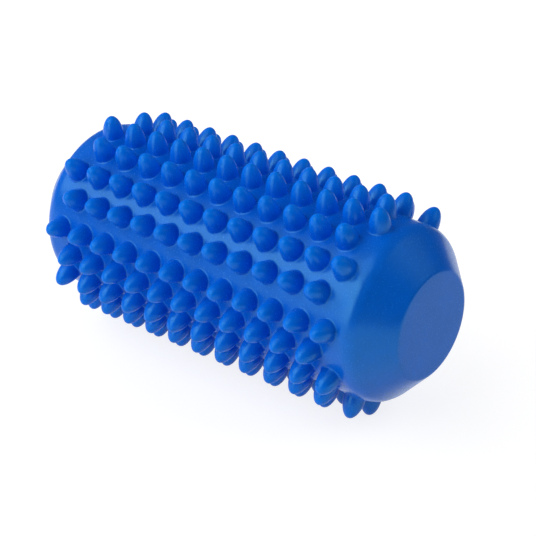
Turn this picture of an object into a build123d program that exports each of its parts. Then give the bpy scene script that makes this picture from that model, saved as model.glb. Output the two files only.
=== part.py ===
from build123d import *

import os
from itertools import pairwise
from math import atan2, cos, degrees, pi, sin, sqrt, tan

# Spiky massage roller: a hollow, soft moulding full of air, with a push-in valve in one end.
# Millimetres. +X runs along the roller to its plain end, +Z is up, and the origin is the
# middle of the roller's axis. It lies on two rows of spikes, one on each side of -Z.

# Roller body
overall_length = 150.0
barrel_diameter = 58.8
end_disc_diameter = 35.8
cone_length = 10.8
shoulder_radius = 7.0
shoulder_chord_count = 3
wall = 3.0

# Spikes. Each row stands on a land, a shallow flat along the barrel.
spike_height = 7.5
spike_base_diameter = 7.3
spike_pitch = 10.3
spike_side_count = 6
half_row_count = 10
short_row_count = 11
land_depth = 0.27
land_margin = 0.3

# The two halves of the mould meet at this angle from +Z towards +Y, and straight opposite.
parting_angle = 18.0

# Share of the spike's height, and share of its base width there
spike_outline_shares = [(0.0, 1.0), (0.5, 0.9), (0.88, 0.5)]

# Air valve, in the middle of the far end
seat_flange_diameter = 14.0
seat_flange_thickness = 1.6
seat_neck_diameter = 9.0
seat_length = 8.4
seat_clearance = 0.05
bore_diameter = 3.6
pocket_diameter = 9.8
pocket_depth = 1.0
plug_head_diameter = 8.6
plug_head_thickness = 0.9
plug_stem_diameter = 2.8
plug_stem_length = 9.4
plug_tip_diameter = 2.0
plug_bead_length = 2.6
plug_clearance = 0.05

# How far a cutting shape runs on past the surface that it cuts
overrun = 1.0

# Sizes that follow from the ones above
barrel_radius = barrel_diameter / 2
disc_radius = end_disc_diameter / 2
disc_x = overall_length / 2
shoulder_x = disc_x - cone_length
cone_angle = atan2(barrel_radius - disc_radius, cone_length)
row_step = 180 / half_row_count
land_radius = barrel_radius - land_depth

# A spike's corners stand out so far that its section has the area of the round one.
side_angle = 2 * pi / spike_side_count
spike_corner_radius = spike_base_diameter / 2 * sqrt(side_angle / sin(side_angle))
long_row_length = spike_pitch * short_row_count
land_length = long_row_length + 2 * (spike_corner_radius + land_margin)

# The arc between barrel and cone, drawn as a few chords
shoulder_start_x = shoulder_x - shoulder_radius * tan(cone_angle / 2)
shoulder_points = []
for number in range(shoulder_chord_count + 1):
    turn = cone_angle * number / shoulder_chord_count
    x = shoulder_start_x + shoulder_radius * sin(turn)
    shoulder_points.append((x, barrel_radius - shoulder_radius * (1 - cos(turn))))

# The cavity leaves the same wall behind barrel, cone and end disc.
cavity_radius = barrel_radius - wall
cavity_disc_radius = disc_radius - wall * tan(pi / 4 - cone_angle / 2)
cavity_shoulder_x = shoulder_x - wall * tan(cone_angle / 2)
cavity_disc_x = disc_x - wall

# The valve end's face, with its normal pointing out of the roller
valve_face = Plane(origin=(-disc_x, 0, 0), x_dir=(0, 1, 0), z_dir=(-1, 0, 0))

os.makedirs("parts", exist_ok=True)


def row_plane(side, number):
    """Plane whose normal runs up the spikes of a row, counted away from the parting line."""
    turn = row_step * (number + 0.5)
    return Plane.XY.rotated((-parting_angle - side * turn, 0, 0))


# One spike, standing on a land: two tapering stages, a point, and a foot sunk in the wall
with BuildPart() as spike:
    rise = spike_height + land_depth
    for (low, low_share), (high, high_share) in pairwise(spike_outline_shares):
        stage = rise * (high - low)
        drop = spike_corner_radius * cos(side_angle / 2) * (low_share - high_share)
        with BuildSketch(Plane.XY.offset(land_radius + rise * low)):
            RegularPolygon(spike_corner_radius * low_share, spike_side_count)
        extrude(amount=stage, taper=degrees(atan2(drop, stage)))
    loft([spike.faces().sort_by(Axis.Z)[-1], Vertex(0, 0, land_radius + rise)])
    extrude(spike.faces().sort_by(Axis.Z)[0], amount=wall / 2)

# Hollow shell with its spikes, moulded in one piece
with BuildPart() as roller_shell:
    with BuildSketch(Plane.XZ):
        with BuildLine():
            Polyline((0, barrel_radius), *shoulder_points, (disc_x, disc_radius), (disc_x, 0))
            mirror(about=Plane.YZ)
            Line((-disc_x, 0), (disc_x, 0))
        make_face()
    revolve(axis=Axis.X)

    # Lands
    with BuildSketch(Plane.YZ):
        Circle(barrel_radius + overrun)
        RegularPolygon(
            land_radius,
            2 * half_row_count,
            major_radius=False,
            rotation=90 - parting_angle,
            mode=Mode.SUBTRACT,
        )
    extrude(amount=land_length / 2, both=True, mode=Mode.SUBTRACT)

    # Rows of spikes, alternately short and long on each half of the mould
    for extra in (0, 1):
        numbers = range(extra, half_row_count, 2)
        with Locations(*[row_plane(side, number) for side in (-1, 1) for number in numbers]):
            with GridLocations(spike_pitch, 0, short_row_count + extra, 1):
                add(spike.part)

    # Air space
    with BuildSketch(Plane.XZ):
        with BuildLine():
            Polyline(
                (0, cavity_radius),
                (cavity_shoulder_x, cavity_radius),
                (cavity_disc_x, cavity_disc_radius),
                (cavity_disc_x, 0),
            )
            mirror(about=Plane.YZ)
            Line((-cavity_disc_x, 0), (cavity_disc_x, 0))
        make_face()
    revolve(axis=Axis.X, mode=Mode.SUBTRACT)

    # Seat for the valve, a stepped hole through the end wall
    with BuildSketch(valve_face):
        Circle(seat_flange_diameter / 2 + seat_clearance)
    extrude(amount=-seat_flange_thickness, mode=Mode.SUBTRACT)
    with BuildSketch(valve_face):
        Circle(seat_neck_diameter / 2 + seat_clearance)
    extrude(amount=-wall - overrun, mode=Mode.SUBTRACT)

roller_shell.part.label = "roller_shell"
export_step(roller_shell.part, "parts/roller_shell.step")

# Flanged sleeve that guides and seals the plug
with BuildPart() as valve_seat:
    with BuildSketch(valve_face):
        Circle(seat_flange_diameter / 2)
    extrude(amount=-seat_flange_thickness)
    with BuildSketch(valve_face):
        Circle(seat_neck_diameter / 2)
    extrude(amount=-seat_length)
    with Locations(valve_face):
        CounterBoreHole(bore_diameter / 2, pocket_diameter / 2, pocket_depth, seat_length)

valve_seat.part.label = "valve_seat"
export_step(valve_seat.part, "parts/valve_seat.step")

# Plug: a flat head, a thin stem, and a bead near its tip that fills the bore
stem_radius = plug_stem_diameter / 2
bead_radius = bore_diameter / 2 - plug_clearance
head_floor = -pocket_depth
stem_end = head_floor - plug_stem_length
with BuildPart() as valve_plug:
    with BuildSketch(valve_face.offset(head_floor)):
        Circle(plug_head_diameter / 2)
    extrude(amount=plug_head_thickness)
    with BuildSketch(valve_face.offset(head_floor)):
        Circle(stem_radius)
    extrude(amount=-plug_stem_length + plug_bead_length)
    with BuildSketch(valve_face.offset(stem_end + plug_bead_length)):
        Circle(bead_radius)
    with BuildSketch(valve_face.offset(stem_end)):
        Circle(plug_tip_diameter / 2)
    loft()

valve_plug.part.label = "valve_plug"
export_step(valve_plug.part, "parts/valve_plug.step")
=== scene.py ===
"""Looks of the spiky massage roller, laid out as an add-on and run as a script."""

from math import asin, atan2, cos, pi, radians, sin, sqrt, tan

import bpy
from bpy.props import FloatProperty, FloatVectorProperty, IntProperty, PointerProperty
from mathutils import Matrix, Vector


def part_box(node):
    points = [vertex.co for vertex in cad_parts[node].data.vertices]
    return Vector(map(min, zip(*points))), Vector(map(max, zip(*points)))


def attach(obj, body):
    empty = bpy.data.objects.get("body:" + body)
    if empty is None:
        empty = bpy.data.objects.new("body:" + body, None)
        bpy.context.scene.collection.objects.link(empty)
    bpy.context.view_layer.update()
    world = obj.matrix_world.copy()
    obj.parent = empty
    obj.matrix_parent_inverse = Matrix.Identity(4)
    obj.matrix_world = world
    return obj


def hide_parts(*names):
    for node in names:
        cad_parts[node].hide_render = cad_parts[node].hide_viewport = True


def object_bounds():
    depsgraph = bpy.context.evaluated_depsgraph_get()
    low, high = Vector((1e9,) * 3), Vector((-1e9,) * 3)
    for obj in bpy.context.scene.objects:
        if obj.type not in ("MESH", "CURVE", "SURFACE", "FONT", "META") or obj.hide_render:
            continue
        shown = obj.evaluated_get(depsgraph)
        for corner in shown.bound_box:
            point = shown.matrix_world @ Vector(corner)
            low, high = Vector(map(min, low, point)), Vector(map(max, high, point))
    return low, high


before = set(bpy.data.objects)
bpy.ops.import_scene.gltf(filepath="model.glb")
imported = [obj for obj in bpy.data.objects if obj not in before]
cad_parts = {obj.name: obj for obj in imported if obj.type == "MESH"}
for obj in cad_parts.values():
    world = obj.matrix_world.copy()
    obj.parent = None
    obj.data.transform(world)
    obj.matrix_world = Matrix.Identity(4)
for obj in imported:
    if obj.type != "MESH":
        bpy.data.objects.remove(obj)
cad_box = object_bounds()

bl_info = {
    "name": "Spiky massage roller",
    "version": (1, 0, 0),
    "blender": (4, 5, 0),
    "location": "3D View > Sidebar > Roller",
    "description": "Dresses the CAD frame of a hollow spiky massage roller",
    "category": "Object",
}

MM = 0.001
_, SHELL_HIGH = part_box("roller_shell")
SEAT_LOW, SEAT_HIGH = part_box("valve_seat")
PLUG_LOW, PLUG_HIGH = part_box("valve_plug")

# Each spike's cell of skin is this many steps wide, along the roller and round it. Each half of the
# mould has its rows' cells, a column on the parting line and one just short of the next such line.
CELL_STEPS = 8
HALF_CELL = CELL_STEPS // 2
HALF_ROWS = 10
HALF_COLUMNS = HALF_ROWS * CELL_STEPS + 2
COLUMNS = 2 * HALF_COLUMNS

# How far each row lies off its even place, along the roller in millimetres and round it in degrees.
# Rows are counted round from the parting line. The first eleven lie on the far side and are even.
FAR_ROWS = (0.0,) * 11
ROW_SLIDES = FAR_ROWS + (0.15, -0.35, -0.71, -0.61, -0.67, -0.48, -0.34, 0.0, 0.65)
ROW_TURNS = FAR_ROWS + (1.0, -0.8, -0.8, -2.85, -0.1, -0.28, -0.3, 0.13, -1.4)

# Faces that meet at less than this are shaded as one smooth surface.
SMOOTH_ANGLE = radians(38)
TURNED_SEGMENTS = 96
TURNED_FILLET_STEPS = 4
INSIDE_FILLET_STEPS = 3

# Sockets of a Mix node that mixes two colours
MIX_FACTOR, MIX_FIRST, MIX_SECOND, MIX_RESULT = 0, 6, 7, 2

# Lamps, all at one distance: name, width and height in metres, turn from -Y towards +X and rise from
# the floor in degrees, the setting with the power, and whether the lamp shows in a gloss. The three
# softboxes do. The fills leave no highlight, as in the photograph.
LAMP_DISTANCE = 1.4
LAMPS = (
    ("key_softbox", 1.6, 0.75, -25, 34, "key_power", True),
    ("upper_softbox", 1.2, 0.9, -25, 60, "upper_power", True),
    ("left_fill", 1.3, 1.0, -97, 28, "left_power", False),
    ("right_fill", 1.0, 0.8, 130, 40, "right_power", False),
    ("lower_softbox", 0.95, 0.5, -13, 9, "lower_power", True),
    ("overhead_fill", 1.2, 1.2, 60, 76, "overhead_power", False),
)

# The floor glows white in a pool round the roller, and fades between these distances from its middle.
POOL_MIDDLE = (-0.09, 0.12, 0.0)
POOL_START, POOL_END = 0.3, 1.0
POOL_GLOW, FAR_GLOW = 0.82, 0.1

# The walls are paler just above the floor, up to this share of the way to overhead.
HORIZON_TOP = 0.2


def linear(hex_colour):
    """An sRGB hex colour as linear red, green and blue, with full alpha."""
    shares = [int(hex_colour[start:start + 2], 16) / 255 for start in (1, 3, 5)]
    return tuple(s / 12.92 if s <= 0.04045 else ((s + 0.055) / 1.055) ** 2.4 for s in shares) + (1.0,)


def length(name, description, millimetres):
    """A length that the user may change, given here in millimetres."""
    return FloatProperty(
        name=name,
        description=description,
        default=millimetres * MM,
        min=0.0,
        subtype="DISTANCE",
        precision=5,
    )


def angle(name, description, value):
    """An angle that the user may change, given here in degrees."""
    return FloatProperty(name=name, description=description, default=radians(value), subtype="ANGLE")


def per_row(name, description, values, subtype):
    """One value for each row of spikes, counted round from the parting line."""
    return FloatVectorProperty(
        name=name, description=description, default=values, size=len(values), subtype=subtype
    )


def watts(name, description, value):
    """Power of a lamp."""
    return FloatProperty(name=name, description=description, default=value, min=0.0, subtype="POWER")


def brightness(name, description, value):
    """Brightness of the studio, as a share of white."""
    return FloatProperty(name=name, description=description, default=value, min=0.0, subtype="FACTOR")


def colour(name, description, hex_colour):
    """A colour that the user may change, given here as sRGB hex."""
    return FloatVectorProperty(
        name=name,
        description=description,
        default=linear(hex_colour),
        size=4,
        min=0.0,
        max=1.0,
        subtype="COLOR",
    )


class RollerShape(bpy.types.PropertyGroup):
    """Sizes of the moulded skin."""

    barrel_diameter: length("Barrel diameter", "Across the barrel, between the spikes", 58.8)
    disc_diameter: length("End disc diameter", "Across the flat disc at each end", 35.8)
    cone_length: length("Cone length", "From the barrel's end to the disc, along the axis", 10.8)
    shoulder_radius: length("Shoulder radius", "Arc between barrel and cone", 7.0)
    rim_radius: length("Rim radius", "Arc between cone and disc", 2.2)
    wall: length("Wall", "Thickness of the skin", 3.0)
    spike_diameter: length("Spike diameter", "Across a spike at its foot", 7.3)
    spike_pitch: length("Spike pitch", "From one spike of a row to the next", 10.3)
    foot_radius: length("Foot radius", "Fillet round the foot of a spike", 0.55)
    short_row: IntProperty(
        name="Spikes in a short row", description="A long row has one more", default=11, min=1
    )
    # The rows of the soft moulding stand a little off their even places.
    row_slide: per_row(
        "Row slide",
        "How far each row lies off its even place along the roller",
        tuple(slide * MM for slide in ROW_SLIDES),
        "TRANSLATION",
    )
    row_turn: per_row(
        "Row turn",
        "How far each row lies off its even place round the roller",
        tuple(radians(turn) for turn in ROW_TURNS),
        "EULER",
    )
    parting_angle: angle("Parting angle", "Where the halves of the mould meet, from +Z towards +Y", 18.0)
    witness_height: length("Parting witness", "Height of the faint line where the halves meet", 0.1)
    witness_width: length("Parting witness width", "Half width of that line", 0.3)
    hole_edge: length("Edge radius", "Rounded edges of the valve's hole and of the inside wall", 0.35)


class ValveShape(bpy.types.PropertyGroup):
    """Sizes of the valve seat and its plug."""

    flange_thickness: length("Flange thickness", "Flange of the seat", 1.6)
    flange_clearance: length("Flange clearance", "Between the flange and its recess", 0.05)
    neck_diameter: length("Neck diameter", "Sleeve behind the flange", 9.0)
    bore_diameter: length("Bore diameter", "Bore that the plug seals", 3.6)
    pocket_diameter: length("Pocket diameter", "Recess for the plug's head", 9.8)
    pocket_depth: length("Pocket depth", "Depth of that recess", 1.0)
    seat_edge: length("Seat edge", "Rounded edges of bore and pocket", 0.3)
    head_thickness: length("Head thickness", "Flat head of the plug", 0.9)
    stem_diameter: length("Stem diameter", "Stem of the plug", 2.8)
    bead_diameter: length("Bead diameter", "Bead that fills the bore", 3.5)
    bead_length: length("Bead length", "Tapered bead at the tip", 2.6)
    tip_diameter: length("Tip diameter", "Far end of the bead", 2.0)
    dish_depth: length("Dish depth", "Shallow dish in the plug's head", 0.25)
    gate_height: length("Gate mark height", "Round mark that the mould's gate leaves in the dish", 0.12)


class FinishColours(bpy.types.PropertyGroup):
    """Colours of the plastics."""

    skin: colour("Skin", "Pigment of the skin", "#006DEC")
    skin_deep: colour("Skin, deep", "Where the pigment lies thicker", "#005DC8")
    # The tips' blue is painted light: a paler blue where light would soak through the thin tips.
    skin_tip_painted_light: colour("Skin, tips", "Where light soaks through the tips of the spikes", "#0077F2")
    gloss: colour("Gloss", "Tint of the light that soft PVC reflects head on", "#8AF2FF")
    bloom: colour("Bloom", "Tint of the soft light on the grazing edges of soft PVC", "#46A0FF")
    seat: colour("Valve seat", "Pigment of the valve seat", "#00479E")
    seat_deep: colour("Valve seat, deep", "Where that pigment lies thicker", "#004396")
    plug: colour("Valve plug", "Unpigmented polyethylene", "#E6E6DE")
    plug_milk: colour("Valve plug, milky", "Where the polyethylene is cloudier", "#DCDCD0")


class StageSettings(bpy.types.PropertyGroup):
    """Floor, lamps and camera."""

    floor_size: FloatProperty(
        name="Floor size", description="Side of the floor", default=12.0, min=1.0, subtype="DISTANCE"
    )
    lens: FloatProperty(
        name="Lens",
        description="Focal length of the camera",
        default=122.37,
        min=1.0,
        subtype="DISTANCE_CAMERA",
    )
    camera_place: FloatVectorProperty(
        name="Camera place",
        description="Where the photograph was taken from",
        default=(0.35042, -0.4214, 0.26172),
        subtype="TRANSLATION",
    )
    camera_turn: angle("Camera turn", "From -Y towards +X, seen from the roller", 39.02)
    camera_rise: angle("Camera rise", "Above the horizon, seen from the roller", 25.89)
    camera_roll: angle("Camera roll", "Tilt of the picture", 1.335)
    key_power: watts("Key lamp", "Large softbox on the camera's left", 7.8)
    upper_power: watts("Upper lamp", "Dimmer softbox above the key lamp", 3.6)
    lower_power: watts("Lower lamp", "Low softbox under the key lamp", 2.8)
    left_power: watts("Left fill", "Soft light beyond the valve end", 10.0)
    right_power: watts("Right fill", "Soft light on the plain end, from behind", 6.5)
    overhead_power: watts("Overhead fill", "Faint soft light above the roller", 0.5)
    walls: brightness("Studio walls", "Brightness of the dim studio walls", 0.06)
    horizon: brightness("Horizon", "Brightness of the walls just above the floor", 0.15)


def round_axis(x, radius, turn):
    """A place at this radius from the roller's axis, turned from +Z towards +Y."""
    return (x, radius * sin(turn), radius * cos(turn))


class Surface:
    """Points and faces of one piece, gathered ring by ring."""

    def __init__(self):
        self.points = []
        self.faces = []
        self.heights = []

    def point(self, place, height=0.0):
        """Adds a point, with its share of a spike's height, and gives its number."""
        self.points.append(tuple(place))
        self.heights.append(height)
        return len(self.points) - 1

    def ring(self, places, height=0.0):
        """Adds a ring of points."""
        return [self.point(place, height) for place in places]

    def band(self, first, second):
        """Joins two closed rings with a band of faces."""
        for near in range(len(first)):
            far = (near + 1) % len(first)
            self.faces.append((first[near], first[far], second[far], second[near]))

    def fan(self, ring, tip):
        """Closes a ring with faces that meet at one point."""
        for near in range(len(ring)):
            self.faces.append((ring[near], ring[(near + 1) % len(ring)], tip))

    def piece(self, name, material):
        """The finished object, with its points' shares of a spike's height kept for the material."""
        mesh = bpy.data.meshes.new(name)
        mesh.from_pydata(self.points, [], self.faces)
        mesh.validate()
        uses = {}
        for edge_key in (key for polygon in mesh.polygons for key in polygon.edge_keys):
            uses[edge_key] = uses.get(edge_key, 0) + 1
        if set(uses.values()) != {2}:
            raise RuntimeError(f"{name} isn't a closed surface")
        mesh.shade_smooth()
        mesh.set_sharp_from_angle(angle=SMOOTH_ANGLE)
        share = mesh.attributes.new("spike_share", "FLOAT", "POINT")
        share.data.foreach_set("value", self.heights)
        mesh.materials.append(material)
        piece = bpy.data.objects.new(name, mesh)
        bpy.context.scene.collection.objects.link(piece)
        return piece


def rounded(corners, steps):
    """Outline through corners given as (x, radius, fillet), with each fillet drawn as an arc."""
    outline = []
    last = len(corners) - 1
    for number, (x, radius, fillet) in enumerate(corners):
        corner = Vector((x, radius))
        if fillet == 0.0:
            outline.append(corner)
            continue
        before = (Vector(corners[number - 1][:2]) - corner).normalized()
        after = (Vector(corners[0 if number == last else number + 1][:2]) - corner).normalized()
        half = before.angle(after) / 2
        centre = corner + (before + after).normalized() * fillet / sin(half)
        start = corner + before * fillet / tan(half)
        end = corner + after * fillet / tan(half)
        start_turn = atan2(start.y - centre.y, start.x - centre.x)
        sweep = atan2(end.y - centre.y, end.x - centre.x) - start_turn
        sweep -= 2 * pi * round(sweep / (2 * pi))
        for step in range(steps + 1):
            turn = start_turn + sweep * step / steps
            outline.append(centre + Vector((cos(turn), sin(turn))) * fillet)
    return outline


def turned(surface, outline, closed):
    """Turns an outline of (x, radius) round the roller's axis. An open one ends on the axis."""
    rings = []
    for x, radius in outline:
        if radius == 0.0:
            rings.append([surface.point((x, 0.0, 0.0))])
            continue
        turns = [2 * pi * number / TURNED_SEGMENTS for number in range(TURNED_SEGMENTS)]
        rings.append(surface.ring([round_axis(x, radius, turn) for turn in turns]))
    pairs = list(zip(rings, rings[1:]))
    if closed:
        pairs.append((rings[-1], rings[0]))
    for first, second in pairs:
        if len(first) == 1:
            surface.fan(second, first[0])
        elif len(second) == 1:
            surface.fan(first[::-1], second[0])
        else:
            surface.band(second, first)


class Skin(Surface):
    """The hollow moulding. Columns of points run along it, and stations cross them on the barrel."""

    def __init__(self, shape):
        super().__init__()
        self.shape = shape
        self.barrel = shape.barrel_diameter / 2
        self.disc = shape.disc_diameter / 2
        self.disc_x = SHELL_HIGH.x
        self.shoulder_x = self.disc_x - shape.cone_length
        self.cone_turn = atan2(self.barrel - self.disc, shape.cone_length)
        self.arc_x = self.shoulder_x - shape.shoulder_radius * tan(self.cone_turn / 2)
        self.spike = shape.spike_diameter / 2
        self.step = shape.spike_pitch / CELL_STEPS
        self.end_station = (shape.short_row + 1) * CELL_STEPS // 2
        row_turn = pi / HALF_ROWS
        # Angle of each row from +Z towards +Y
        self.row_angles = []
        for number in range(2 * HALF_ROWS):
            even_angle = shape.parting_angle + row_turn * (number + 0.5)
            self.row_angles.append(even_angle + shape.row_turn[number])
        # An even row comes no nearer to an axis than half a row's step. A row turned nearer is lower.
        self.full_height = self.height_to_box(row_turn / 2)
        self.columns = self.column_angles()
        self.corners = {}

    def height_to_box(self, off):
        """Height at which a spike that stands this far off an axis just touches the frame's box."""
        reach = SHELL_HIGH.z - self.barrel * cos(off)
        return sqrt(reach ** 2 - (self.spike * sin(off)) ** 2) / cos(off)

    def column_angles(self):
        """Angle of each column from +Z towards +Y, and whether it lies on the parting line."""
        columns = []
        foot = self.shape.witness_width / self.barrel
        for half in (0, 1):
            start = self.shape.parting_angle + pi * half
            angles = self.row_angles[HALF_ROWS * half:HALF_ROWS * (half + 1)]
            # A row's cells reach halfway to the next row, or to the foot of the parting witness.
            stops = [start + foot]
            for near, far in zip(angles, angles[1:]):
                stops += [near, (near + far) / 2]
            stops += [angles[-1], start + pi - foot]
            columns.append((start, True))
            for near, far in zip(stops, stops[1:]):
                turns = [near + (far - near) * number / HALF_CELL for number in range(HALF_CELL)]
                columns += [(turn, False) for turn in turns]
            columns.append((stops[-1], False))
        return columns

    def around(self, x, radius, witness):
        """Adds a ring of points, one for each column."""
        places = []
        for turn, on_parting in self.columns:
            places.append(round_axis(x, radius + (witness if on_parting else 0.0), turn))
        return self.ring(places)

    def radius_at(self, x):
        """Radius of the barrel and its shoulder at a place along the axis."""
        past = max(abs(x) - self.arc_x, 0.0)
        arc = self.shape.shoulder_radius
        return self.barrel - arc + sqrt(arc ** 2 - past ** 2)

    def corner(self, station, column):
        """The point where a station crosses a column of the barrel."""
        key = (station, column % COLUMNS)
        if key not in self.corners:
            turn, on_parting = self.columns[key[1]]
            x = station * self.step
            radius = self.radius_at(x) + (self.shape.witness_height if on_parting else 0.0)
            self.corners[key] = self.point(round_axis(x, radius, turn))
        return self.corners[key]

    def plain(self, stations, first_column, last_column):
        """Adds plain skin between stations and columns."""
        for station in stations:
            for column in range(first_column, last_column):
                near = (self.corner(station, column), self.corner(station + 1, column))
                far = (self.corner(station + 1, column + 1), self.corner(station, column + 1))
                self.faces.append(near + far)

    def spike_outline(self, spike_height):
        """Half an egg as (radius, height): fillet at its foot, then a quarter ellipse up to its tip."""
        spike, fillet = self.spike, self.shape.foot_radius
        # A flat ring just outside the fillet keeps the spike's shading off the barrel.
        apron_share = 1.1
        outline = [(spike + fillet * apron_share, 0.0)]
        fillet_steps = 4
        for number in range(fillet_steps + 1):
            turn = pi / 2 * number / fillet_steps
            outline.append((spike + fillet * (1 - sin(turn)), fillet * (1 - cos(turn))))
        flank_steps = 11
        low_turn = asin(fillet / spike_height)
        for number in range(1, flank_steps):
            turn = low_turn + (pi / 2 - low_turn) * number / flank_steps
            outline.append((spike * cos(turn), spike_height * sin(turn)))
        return outline

    def add_spike(self, middle, first_column, turn, slide, spike_height):
        """Adds one spike with its fillet, joined to the edge of its cell of skin."""
        low, high = middle - HALF_CELL, middle + HALF_CELL
        last_column = first_column + CELL_STEPS
        steps = range(CELL_STEPS)
        edge = [self.corner(low + number, first_column) for number in steps]
        edge += [self.corner(high, first_column + number) for number in steps]
        edge += [self.corner(high - number, last_column) for number in steps]
        edge += [self.corner(low, last_column - number) for number in steps]
        # The edge starts at the cell's corner, which lies on this bearing from the spike's foot.
        first_bearing = -3 * pi / 4
        out = Vector((0.0, sin(turn), cos(turn)))
        side = Vector((0.0, cos(turn), -sin(turn)))
        foot = Vector((middle * self.step + slide, 0.0, 0.0))
        for radius, height in self.spike_outline(spike_height):
            # The spike's foot follows the round of the barrel, and its tip doesn't.
            follow = 1.0 - height / spike_height
            places = []
            for number in range(len(edge)):
                bearing = 2 * pi * number / len(edge) + first_bearing
                across = radius * sin(bearing)
                sink = self.barrel - sqrt(self.barrel ** 2 - across ** 2)
                rise = self.barrel + height - sink * follow
                along = Vector((radius * cos(bearing), 0.0, 0.0))
                places.append(foot + along + side * across + out * rise)
            ring = self.ring(places, height / spike_height)
            self.band(edge, ring)
            edge = ring
        self.fan(edge, self.point(foot + out * (self.barrel + spike_height), 1.0))

    def add_barrel(self):
        """Adds the barrel with its rows of spikes, alternately short and long."""
        for half in (0, 1):
            for row in range(HALF_ROWS):
                first_column = HALF_COLUMNS * half + 1 + CELL_STEPS * row
                last_column = first_column + CELL_STEPS
                turn = self.row_angles[HALF_ROWS * half + row]
                slide = self.shape.row_slide[HALF_ROWS * half + row]
                off_axis = abs((turn + pi / 4) % (pi / 2) - pi / 4)
                spike_height = min(self.full_height, self.height_to_box(off_axis))
                # The halves of the mould mirror each other, so two like rows meet at a parting line.
                count = self.shape.short_row + (row + half) % 2
                row_end = count * CELL_STEPS // 2
                for number in range(count):
                    middle = CELL_STEPS * number + HALF_CELL - row_end
                    self.add_spike(middle, first_column, turn, slide, spike_height)
                self.plain(range(-self.end_station, -row_end), first_column, last_column)
                self.plain(range(row_end, self.end_station), first_column, last_column)
            crest = HALF_COLUMNS * half
            self.plain(range(-self.end_station, self.end_station), crest - 1, crest + 1)

    def end_outline(self):
        """Shoulder, cone and rim, from the barrel out to the disc: x, radius and height of the witness."""
        shape = self.shape
        outline = []
        start_turn = asin((self.end_station * self.step - self.arc_x) / shape.shoulder_radius)
        shoulder_steps = 12
        for number in range(1, shoulder_steps + 1):
            turn = start_turn + (self.cone_turn - start_turn) * number / shoulder_steps
            x = self.arc_x + shape.shoulder_radius * sin(turn)
            radius = self.barrel - shape.shoulder_radius * (1 - cos(turn))
            outline.append((x, radius, shape.witness_height * (1 - number / shoulder_steps)))
        cone_start_x, cone_start_radius, _ = outline[-1]
        rim_tangent = shape.rim_radius * tan((pi / 2 - self.cone_turn) / 2)
        cone_end_x = self.disc_x - rim_tangent * cos(self.cone_turn)
        cone_end_radius = self.disc + rim_tangent * sin(self.cone_turn)
        cone_steps = 4
        for number in range(1, cone_steps):
            share = number / cone_steps
            x = cone_start_x + (cone_end_x - cone_start_x) * share
            radius = cone_start_radius + (cone_end_radius - cone_start_radius) * share
            outline.append((x, radius, 0.0))
        rim_steps = 5
        for number in range(rim_steps + 1):
            turn = self.cone_turn + (pi / 2 - self.cone_turn) * number / rim_steps
            x = self.disc_x - shape.rim_radius + shape.rim_radius * sin(turn)
            radius = self.disc - rim_tangent + shape.rim_radius * cos(turn)
            outline.append((x, radius, 0.0))
        return outline

    def add_plain_end(self):
        """Adds the plain end, closed by its disc."""
        path = self.end_outline()
        _, rim, _ = path[-1]
        disc_steps = 5
        for number in range(1, disc_steps):
            path.append((self.disc_x, rim * (1 - number / disc_steps), 0.0))
        last = [self.corner(self.end_station, column) for column in range(COLUMNS)]
        for x, radius, witness in path:
            ring = self.around(x, radius, witness)
            self.band(ring, last)
            last = ring
        self.fan(last[::-1], self.point((self.disc_x, 0.0, 0.0)))

    def add_valve_end(self, valve):
        """Adds the valve end: its disc, the stepped hole for the seat, and the inside wall behind it."""
        shape = self.shape
        path = [(-x, radius, witness) for x, radius, witness in self.end_outline()]
        _, rim, _ = path[-1]
        recess = (SEAT_HIGH.z - SEAT_LOW.z) / 2 + valve.flange_clearance
        hole = valve.neck_diameter / 2 + valve.flange_clearance
        ledge_x = -self.disc_x + valve.flange_thickness
        cavity = self.barrel - shape.wall
        cavity_disc = self.disc - shape.wall * tan(pi / 4 - self.cone_turn / 2)
        cavity_x = self.disc_x - shape.wall
        cavity_shoulder_x = self.shoulder_x - shape.wall * tan(self.cone_turn / 2)
        inside = rounded(
            [
                (-self.disc_x, rim, 0.0),
                (-self.disc_x, recess, shape.hole_edge),
                (ledge_x, recess, 0.0),
                (ledge_x, hole, 0.0),
                (-cavity_x, hole, shape.hole_edge),
                (-cavity_x, cavity_disc, shape.hole_edge),
                (-cavity_shoulder_x, cavity, shape.hole_edge),
                (cavity_shoulder_x, cavity, shape.hole_edge),
                (cavity_x, cavity_disc, shape.hole_edge),
                (cavity_x, cavity_disc / 2, 0.0),
            ],
            INSIDE_FILLET_STEPS,
        )
        # The path has the rim already.
        path += [(x, radius, 0.0) for x, radius in inside[1:]]
        last = [self.corner(-self.end_station, column) for column in range(COLUMNS)]
        for x, radius, witness in path:
            ring = self.around(x, radius, witness)
            self.band(last, ring)
            last = ring
        self.fan(last, self.point((cavity_x, 0.0, 0.0)))


def add_node(tree, kind, settings=None, inputs=None):
    """Adds a node with its settings. An input is a value, or the output that feeds it."""
    node = tree.nodes.new(kind)
    for key, value in (settings or {}).items():
        setattr(node, key, value)
    for key, value in (inputs or {}).items():
        if isinstance(value, bpy.types.NodeSocket):
            tree.links.new(value, node.inputs[key])
        else:
            node.inputs[key].default_value = value
    return node


def new_material(name):
    """An empty material and its node tree."""
    material = bpy.data.materials.new(name)
    material.use_nodes = True
    material.node_tree.nodes.clear()
    return material, material.node_tree


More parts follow.
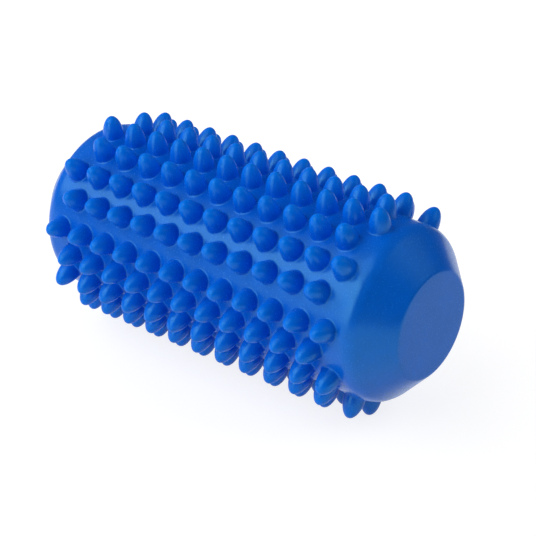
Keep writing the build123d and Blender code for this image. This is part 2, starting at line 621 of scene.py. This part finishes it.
def pvc_colour(tree, place, share, pigments_and_tip_light):
    """Clouds of pigment, mottled down to a pixel or two, with painted light that makes the tips of the
    spikes paler.
    """
    cloud_size = 9 * MM
    pigment, deep_pigment, tip_painted_light = pigments_and_tip_light
    clouds = add_node(
        tree,
        "ShaderNodeTexNoise",
        None,
        {"Vector": place, "Scale": 1 / cloud_size, "Detail": 4.5, "Roughness": 0.8},
    )
    cloudy = add_node(
        tree,
        "ShaderNodeMix",
        {"data_type": "RGBA"},
        {MIX_FACTOR: clouds.outputs[0], MIX_FIRST: pigment, MIX_SECOND: deep_pigment},
    )
    # Towards the tips the colour turns to the paler blue of the painted light.
    return add_node(
        tree,
        "ShaderNodeMix",
        {"data_type": "RGBA"},
        {MIX_FACTOR: share, MIX_FIRST: cloudy.outputs[MIX_RESULT], MIX_SECOND: tip_painted_light},
    ).outputs[MIX_RESULT]


def pvc_relief(tree, place):
    """Slow waves where the skin shrank, with the grain of the mould on them, and that grain alone."""
    wave_size = 5 * MM
    wave_depth = 0.06 * MM
    # The mould's grain is about 0.1 mm wide. It is drawn wider, so that a pixel or two shows it.
    grain_size = 0.5 * MM
    grain_depth = 0.02 * MM
    waves = add_node(
        tree, "ShaderNodeTexNoise", None, {"Vector": place, "Scale": 1 / wave_size, "Detail": 1.0}
    )
    wavy = add_node(
        tree,
        "ShaderNodeBump",
        None,
        {"Height": waves.outputs[0], "Strength": 1.0, "Distance": wave_depth},
    )
    grain = add_node(
        tree, "ShaderNodeTexNoise", None, {"Vector": place, "Scale": 1 / grain_size, "Detail": 2.0}
    )
    grainy = add_node(
        tree,
        "ShaderNodeBump",
        None,
        {"Height": grain.outputs[0], "Strength": 1.0, "Distance": grain_depth, "Normal": wavy.outputs[0]},
    )
    return grainy.outputs[0], grain.outputs[0]


def pvc_dullness(tree, share, normal):
    """How much of the gloss is lost, where light grazes the grain and where use has worn it."""
    facing = add_node(tree, "ShaderNodeLayerWeight", None, {"Blend": 0.5, "Normal": normal})
    # The grain scatters the gloss where light grazes it, so a turned-away surface stays deep blue.
    grazed = add_node(
        tree,
        "ShaderNodeMapRange",
        None,
        {"Value": facing.outputs["Facing"], "From Min": 0.3, "From Max": 0.5, "To Min": 0.0, "To Max": 0.4},
    )
    # At the very edge even a grainy skin shines, which draws a thin pale line round each spike.
    short_of_edge = add_node(
        tree,
        "ShaderNodeMapRange",
        None,
        {"Value": facing.outputs["Facing"], "From Min": 0.6, "From Max": 0.85, "To Min": 1.0, "To Max": 0.0},
    )
    scattered = add_node(
        tree,
        "ShaderNodeMath",
        {"operation": "MULTIPLY"},
        {0: grazed.outputs[0], 1: short_of_edge.outputs[0]},
    )
    # Use has rubbed the upper part of the spikes dull.
    worn = add_node(
        tree,
        "ShaderNodeMapRange",
        None,
        {"Value": share, "From Min": 0.4, "From Max": 1.0, "To Min": 0.0, "To Max": 0.5},
    )
    return add_node(
        tree, "ShaderNodeMath", {"operation": "MAXIMUM"}, {0: scattered.outputs[0], 1: worn.outputs[0]}
    ).outputs[0]


# Soft PVC, moulded: a satin skin with the grain of a cast mould, slow waves where it shrank, and cloudy
# pigment. Highlights are broad, with a rough sparkle. The tips of the spikes are painted paler, a painted
# glow that stands in for light soaking through them, and use has made them dull.
def soft_pvc(name, pigments_and_tip_light, gloss_tint, bloom_tint):
    """Material of the skin and the valve seat."""
    material, tree = new_material(name)
    place = add_node(tree, "ShaderNodeTexCoord").outputs["Object"]
    share = add_node(tree, "ShaderNodeAttribute", {"attribute_name": "spike_share"}).outputs["Fac"]
    body_colour = pvc_colour(tree, place, share, pigments_and_tip_light)
    normal, grain = pvc_relief(tree, place)
    satin = add_node(
        tree,
        "ShaderNodeMapRange",
        None,
        {"Value": grain, "From Min": 0.3, "From Max": 0.7, "To Min": 0.19, "To Max": 0.29},
    )
    plastic = add_node(
        tree,
        "ShaderNodeBsdfPrincipled",
        None,
        {
            "Base Color": body_colour,
            "Roughness": satin.outputs[0],
            "Normal": normal,
            "IOR": 1.52,
            "Specular IOR Level": 0.75,
            "Specular Tint": gloss_tint,
            "Sheen Weight": 0.4,
            "Sheen Roughness": 0.3,
            "Sheen Tint": bloom_tint,
        },
    )
    matt = add_node(tree, "ShaderNodeBsdfDiffuse", None, {"Color": body_colour, "Normal": normal})
    dullness = pvc_dullness(tree, share, normal)
    skin = add_node(
        tree, "ShaderNodeMixShader", None, {0: dullness, 1: plastic.outputs[0], 2: matt.outputs[0]}
    )
    add_node(tree, "ShaderNodeOutputMaterial", None, {"Surface": skin.outputs[0]})
    return material


# Low-density polyethylene, injection moulded without pigment: milky and waxy, it lets light sink in and
# its highlight stays dull.
def waxy_polyethylene(name, tint, milk_tint):
    """Material of the valve plug."""
    cloud_size = 2 * MM
    # Sparks gave the mould a grain about 0.05 mm wide. It is drawn wider, so that it shows.
    grain_size = 0.3 * MM
    grain_depth = 0.01 * MM
    # Light goes this deep into the wax.
    glow_depth = 1.5 * MM
    material, tree = new_material(name)
    place = add_node(tree, "ShaderNodeTexCoord").outputs["Object"]
    milk = add_node(
        tree, "ShaderNodeTexNoise", None, {"Vector": place, "Scale": 1 / cloud_size, "Detail": 2.0}
    )
    milky = add_node(
        tree,
        "ShaderNodeMix",
        {"data_type": "RGBA"},
        {MIX_FACTOR: milk.outputs[0], MIX_FIRST: tint, MIX_SECOND: milk_tint},
    )
    grain = add_node(tree, "ShaderNodeTexNoise", None, {"Vector": place, "Scale": 1 / grain_size})
    grainy = add_node(
        tree,
        "ShaderNodeBump",
        None,
        {"Height": grain.outputs[0], "Strength": 1.0, "Distance": grain_depth},
    )
    plastic = add_node(
        tree,
        "ShaderNodeBsdfPrincipled",
        None,
        {
            "Base Color": milky.outputs[MIX_RESULT],
            "Roughness": 0.38,
            "IOR": 1.51,
            "Subsurface Weight": 0.3,
            "Subsurface Scale": glow_depth,
            "Normal": grainy.outputs[0],
        },
    )
    add_node(tree, "ShaderNodeOutputMaterial", None, {"Surface": plastic.outputs[0]})
    return material


def seen_rays(tree):
    """One for rays that show the background: to the camera, in a reflection or through glass."""
    rays = add_node(tree, "ShaderNodeLightPath")
    seen = add_node(
        tree,
        "ShaderNodeMath",
        {"operation": "MAXIMUM"},
        {0: rays.outputs["Is Camera Ray"], 1: rays.outputs["Is Glossy Ray"]},
    )
    return add_node(
        tree,
        "ShaderNodeMath",
        {"operation": "MAXIMUM"},
        {0: seen.outputs[0], 1: rays.outputs["Is Transmission Ray"]},
    ).outputs[0]


# Seamless studio paper: matt and near white. Where it is seen, a glow lifts it to plain white, and the
# grey share of it that stays diffuse keeps the roller's soft shadow.
def studio_paper(name):
    """Material of the floor."""
    material, tree = new_material(name)
    plain = add_node(tree, "ShaderNodeBsdfDiffuse", None, {"Color": linear("#EDEDED")})
    shaded = add_node(tree, "ShaderNodeBsdfDiffuse", None, {"Color": linear("#989898")})
    place = add_node(tree, "ShaderNodeTexCoord").outputs["Object"]
    distance = add_node(
        tree, "ShaderNodeVectorMath", {"operation": "DISTANCE"}, {0: place, 1: POOL_MIDDLE}
    ).outputs["Value"]
    pool = add_node(
        tree,
        "ShaderNodeMapRange",
        {"interpolation_type": "SMOOTHSTEP"},
        {
            "Value": distance,
            "From Min": POOL_START,
            "From Max": POOL_END,
            "To Min": POOL_GLOW,
            "To Max": FAR_GLOW,
        },
    )
    glow = add_node(
        tree, "ShaderNodeEmission", None, {"Color": linear("#FFFFFF"), "Strength": pool.outputs[0]}
    )
    lifted = add_node(tree, "ShaderNodeAddShader", None, {0: shaded.outputs[0], 1: glow.outputs[0]})
    paper = add_node(
        tree, "ShaderNodeMixShader", None, {0: seen_rays(tree), 1: plain.outputs[0], 2: lifted.outputs[0]}
    )
    add_node(tree, "ShaderNodeOutputMaterial", None, {"Surface": paper.outputs[0]})
    return material


# Dim grey studio walls, a little paler just above the floor
def studio_walls(name, walls, horizon):
    """World round the stage."""
    world = bpy.data.worlds.new(name)
    world.use_nodes = True
    tree = world.node_tree
    tree.nodes.clear()
    towards = add_node(tree, "ShaderNodeTexCoord").outputs["Generated"]
    height = add_node(tree, "ShaderNodeSeparateXYZ", None, {0: towards}).outputs["Z"]
    shade = add_node(
        tree,
        "ShaderNodeMapRange",
        {"interpolation_type": "SMOOTHSTEP"},
        {"Value": height, "From Min": 0.0, "From Max": HORIZON_TOP, "To Min": horizon, "To Max": walls},
    )
    light = add_node(tree, "ShaderNodeBackground", None, {"Color": shade.outputs[0], "Strength": 1.0})
    add_node(tree, "ShaderNodeOutputWorld", None, {"Surface": light.outputs[0]})
    return world


def direction(turn, rise):
    """Direction from the roller, turned from -Y towards +X and raised from the floor."""
    return Vector((sin(turn) * cos(rise), -cos(turn) * cos(rise), sin(rise)))


def add_lamp(name, width, height, turn, rise, power, shows):
    """Adds a soft rectangular lamp that faces the roller."""
    data = bpy.data.lights.new(name, "AREA")
    data.shape = "RECTANGLE"
    data.size = width
    data.size_y = height
    data.energy = power
    lamp = bpy.data.objects.new(name, data)
    towards = direction(turn, rise)
    lamp.location = towards * LAMP_DISTANCE
    lamp.rotation_euler = towards.to_track_quat("Z", "Y").to_euler()
    lamp.visible_glossy = shows
    bpy.context.scene.collection.objects.link(lamp)


class ROLLER_OT_add_skin(bpy.types.Operator):
    """Adds the hollow moulding with its spikes"""

    bl_idname = "roller.add_skin"
    bl_label = "Skin"

    def execute(self, context):
        scene = context.scene
        colours = scene.roller_colours
        pigments_and_tip_light = (colours.skin, colours.skin_deep, colours.skin_tip_painted_light)
        material = soft_pvc("soft_pvc_moulded_skin", pigments_and_tip_light, colours.gloss, colours.bloom)
        surface = Skin(scene.roller_shape)
        surface.add_barrel()
        surface.add_plain_end()
        surface.add_valve_end(scene.roller_valve)
        skin = surface.piece("roller_skin", material)
        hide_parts("roller_shell")
        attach(skin, "roller")
        return {"FINISHED"}


class ROLLER_OT_add_valve_seat(bpy.types.Operator):
    """Adds the flanged sleeve that holds the plug"""

    bl_idname = "roller.add_valve_seat"
    bl_label = "Valve seat"

    def execute(self, context):
        valve = context.scene.roller_valve
        colours = context.scene.roller_colours
        rim_fillet = 0.4 * MM
        back_fillet = 0.2 * MM
        end_fillet = 0.5 * MM
        face_x = SEAT_LOW.x
        end_x = SEAT_HIGH.x
        back_x = face_x + valve.flange_thickness
        floor_x = face_x + valve.pocket_depth
        flange = (SEAT_HIGH.z - SEAT_LOW.z) / 2
        neck = valve.neck_diameter / 2
        bore = valve.bore_diameter / 2
        pocket = valve.pocket_diameter / 2
        outline = rounded(
            [
                (face_x, flange, rim_fillet),
                (back_x, flange, back_fillet),
                (back_x, neck, 0.0),
                (end_x, neck, end_fillet),
                (end_x, bore, valve.seat_edge),
                (floor_x, bore, valve.seat_edge),
                (floor_x, pocket, valve.seat_edge),
                (face_x, pocket, valve.seat_edge),
            ],
            TURNED_FILLET_STEPS,
        )
        surface = Surface()
        turned(surface, outline, True)
        pigments_and_tip_light = (colours.seat, colours.seat_deep, colours.seat)
        material = soft_pvc("soft_pvc_injected_seat", pigments_and_tip_light, colours.gloss, colours.bloom)
        seat = surface.piece("valve_seat_sleeve", material)
        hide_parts("valve_seat")
        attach(seat, "roller")
        return {"FINISHED"}


class ROLLER_OT_add_valve_plug(bpy.types.Operator):
    """Adds the stopper that keeps the air in"""

    bl_idname = "roller.add_valve_plug"
    bl_label = "Valve plug"

    def execute(self, context):
        valve = context.scene.roller_valve
        colours = context.scene.roller_colours
        # Radii of the gate's mark, and widths of the rim that stands round the dish
        mark_top = 0.5 * MM
        mark_foot = 0.7 * MM
        rim_top = 0.8 * MM
        rim_foot = 1.1 * MM
        mark_fillet = 0.1 * MM
        dish_fillet = 0.3 * MM
        rim_fillet = 0.15 * MM
        head_fillet = 0.3 * MM
        under_fillet = 0.2 * MM
        bead_fillet = 0.1 * MM
        tip_fillet = 0.4 * MM
        top_x = PLUG_LOW.x
        tip_x = PLUG_HIGH.x
        under_x = top_x + valve.head_thickness
        dish_x = top_x + valve.dish_depth
        mark_x = dish_x - valve.gate_height
        bead_x = tip_x - valve.bead_length
        head = (PLUG_HIGH.z - PLUG_LOW.z) / 2
        stem = valve.stem_diameter / 2
        bead = valve.bead_diameter / 2
        tip = valve.tip_diameter / 2
        outline = rounded(
            [
                (mark_x, 0.0, 0.0),
                (mark_x, mark_top, mark_fillet),
                (dish_x, mark_foot, mark_fillet),
                (dish_x, head - rim_foot, dish_fillet),
                (top_x, head - rim_top, rim_fillet),
                (top_x, head, head_fillet),
                (under_x, head, under_fillet),
                (under_x, stem, under_fillet),
                (bead_x, stem, bead_fillet),
                (bead_x, bead, bead_fillet),
                (tip_x, tip, tip_fillet),
                (tip_x, 0.0, 0.0),
            ],
            TURNED_FILLET_STEPS,
        )
        surface = Surface()
        turned(surface, outline, False)
        material = waxy_polyethylene("polyethylene_moulded_plug", colours.plug, colours.plug_milk)
        plug = surface.piece("valve_plug_stopper", material)
        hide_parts("valve_plug")
        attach(plug, "plug")
        return {"FINISHED"}


class ROLLER_OT_add_stage(bpy.types.Operator):
    """Adds the floor, the lamps, the dim studio walls and the camera"""

    bl_idname = "roller.add_stage"
    bl_label = "Stage"

    def execute(self, context):
        scene = context.scene
        stage = scene.roller_stage
        floor_z = cad_box[0].z
        half = stage.floor_size / 2
        sides = [(-half, -half), (half, -half), (half, half), (-half, half)]
        mesh = bpy.data.meshes.new("studio_floor")
        mesh.from_pydata([(x, y, floor_z) for x, y in sides], [], [(0, 1, 2, 3)])
        mesh.materials.append(studio_paper("studio_paper"))
        floor = bpy.data.objects.new("studio_floor", mesh)
        scene.collection.objects.link(floor)

        for name, width, height, turn, rise, power, shows in LAMPS:
            add_lamp(name, width, height, radians(turn), radians(rise), getattr(stage, power), shows)
        scene.world = studio_walls("studio_walls", stage.walls, stage.horizon)

        back = direction(stage.camera_turn, stage.camera_rise)
        level = Vector((0.0, 0.0, 1.0)).cross(back).normalized()
        right = level * cos(stage.camera_roll) + back.cross(level) * sin(stage.camera_roll)
        data = bpy.data.cameras.new("photo_camera")
        data.lens = stage.lens
        camera = bpy.data.objects.new("photo_camera", data)
        axes = Matrix((right, back.cross(right), back)).transposed()
        camera.matrix_world = Matrix.Translation(stage.camera_place) @ axes.to_4x4()
        scene.collection.objects.link(camera)
        scene.camera = camera
        scene.view_settings.view_transform = "Standard"
        return {"FINISHED"}


class ROLLER_PT_pieces(bpy.types.Panel):
    """Lists the pieces of the roller and their sizes"""

    bl_label = "Massage roller"
    bl_idname = "ROLLER_PT_pieces"
    bl_space_type = "VIEW_3D"
    bl_region_type = "UI"
    bl_category = "Roller"

    def draw(self, context):
        layout = self.layout
        for operator in OPERATORS:
            layout.operator(operator.bl_idname)
        for group, name in PROPERTY_GROUPS:
            box = layout.box()
            settings = getattr(context.scene, name)
            box.label(text=group.__doc__.rstrip("."))
            for key in group.__annotations__:
                box.prop(settings, key)


OPERATORS = (ROLLER_OT_add_skin, ROLLER_OT_add_valve_seat, ROLLER_OT_add_valve_plug, ROLLER_OT_add_stage)
PROPERTY_GROUPS = (
    (RollerShape, "roller_shape"),
    (ValveShape, "roller_valve"),
    (FinishColours, "roller_colours"),
    (StageSettings, "roller_stage"),
)


def register():
    """Adds the settings, the operators and the panel."""
    for group, name in PROPERTY_GROUPS:
        bpy.utils.register_class(group)
        setattr(bpy.types.Scene, name, PointerProperty(type=group))
    for operator in OPERATORS:
        bpy.utils.register_class(operator)
    bpy.utils.register_class(ROLLER_PT_pieces)


def unregister():
    """Takes them away again, last one first."""
    bpy.utils.unregister_class(ROLLER_PT_pieces)
    for operator in reversed(OPERATORS):
        bpy.utils.unregister_class(operator)
    for group, name in reversed(PROPERTY_GROUPS):
        delattr(bpy.types.Scene, name)
        bpy.utils.unregister_class(group)


def main():
    """Makes the dressed roller and its stage."""
    register()
    bpy.ops.roller.add_skin()
    bpy.ops.roller.add_valve_seat()
    bpy.ops.roller.add_valve_plug()
    bpy.ops.roller.add_stage()


if __name__ == "__main__":
    main()
